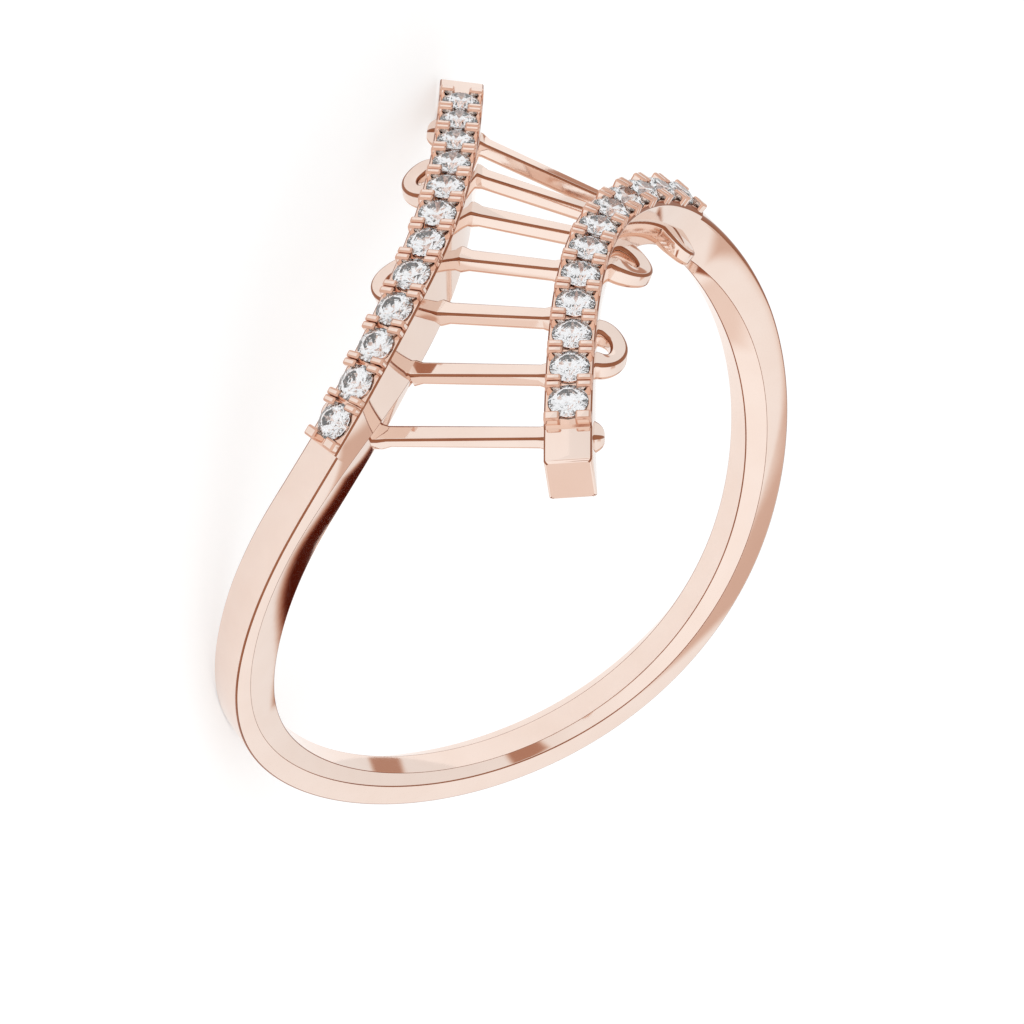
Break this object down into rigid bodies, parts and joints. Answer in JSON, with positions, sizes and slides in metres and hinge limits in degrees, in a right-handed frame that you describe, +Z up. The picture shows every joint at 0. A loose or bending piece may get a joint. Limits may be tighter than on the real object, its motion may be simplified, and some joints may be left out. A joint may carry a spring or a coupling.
{
  "type": "bypass ring",
  "caption": "Bypass finger ring: two band ends sweep past each other, each set with a row of round brilliants, joined by square rungs that turn back in half loops.",
  "frame": {"origin": "on the floor, below the middle of the box round the ring as it lies on its side", "axes": "+Z up from the floor; +Y level, from the shank towards the stones; +X level, across the ring, so that the finger axis lies in the plane of X and Z and leans about 37 degrees from Z"},
  "size_m": [0.0186, 0.02, 0.0106],
  "materials": {
    "rose_gold": "polished rose gold",
    "diamond": "polished clear stone"
  },
  "bodies": {
    "root": {"ring_metal": "rose_gold", "stone_left_01": "diamond", "stone_left_02": "diamond", "stone_left_03": "diamond", "stone_left_04": "diamond", "stone_left_05": "diamond", "stone_left_06": "diamond", "stone_left_07": "diamond", "stone_left_08": "diamond", "stone_left_09": "diamond", "stone_left_10": "diamond", "stone_left_11": "diamond", "stone_left_12": "diamond", "stone_right_01": "diamond", "stone_right_02": "diamond", "stone_right_03": "diamond", "stone_right_04": "diamond", "stone_right_05": "diamond", "stone_right_06": "diamond", "stone_right_07": "diamond", "stone_right_08": "diamond", "stone_right_09": "diamond", "stone_right_10": "diamond", "stone_right_11": "diamond", "stone_right_12": "diamond"}
  },
  "joints": []
}
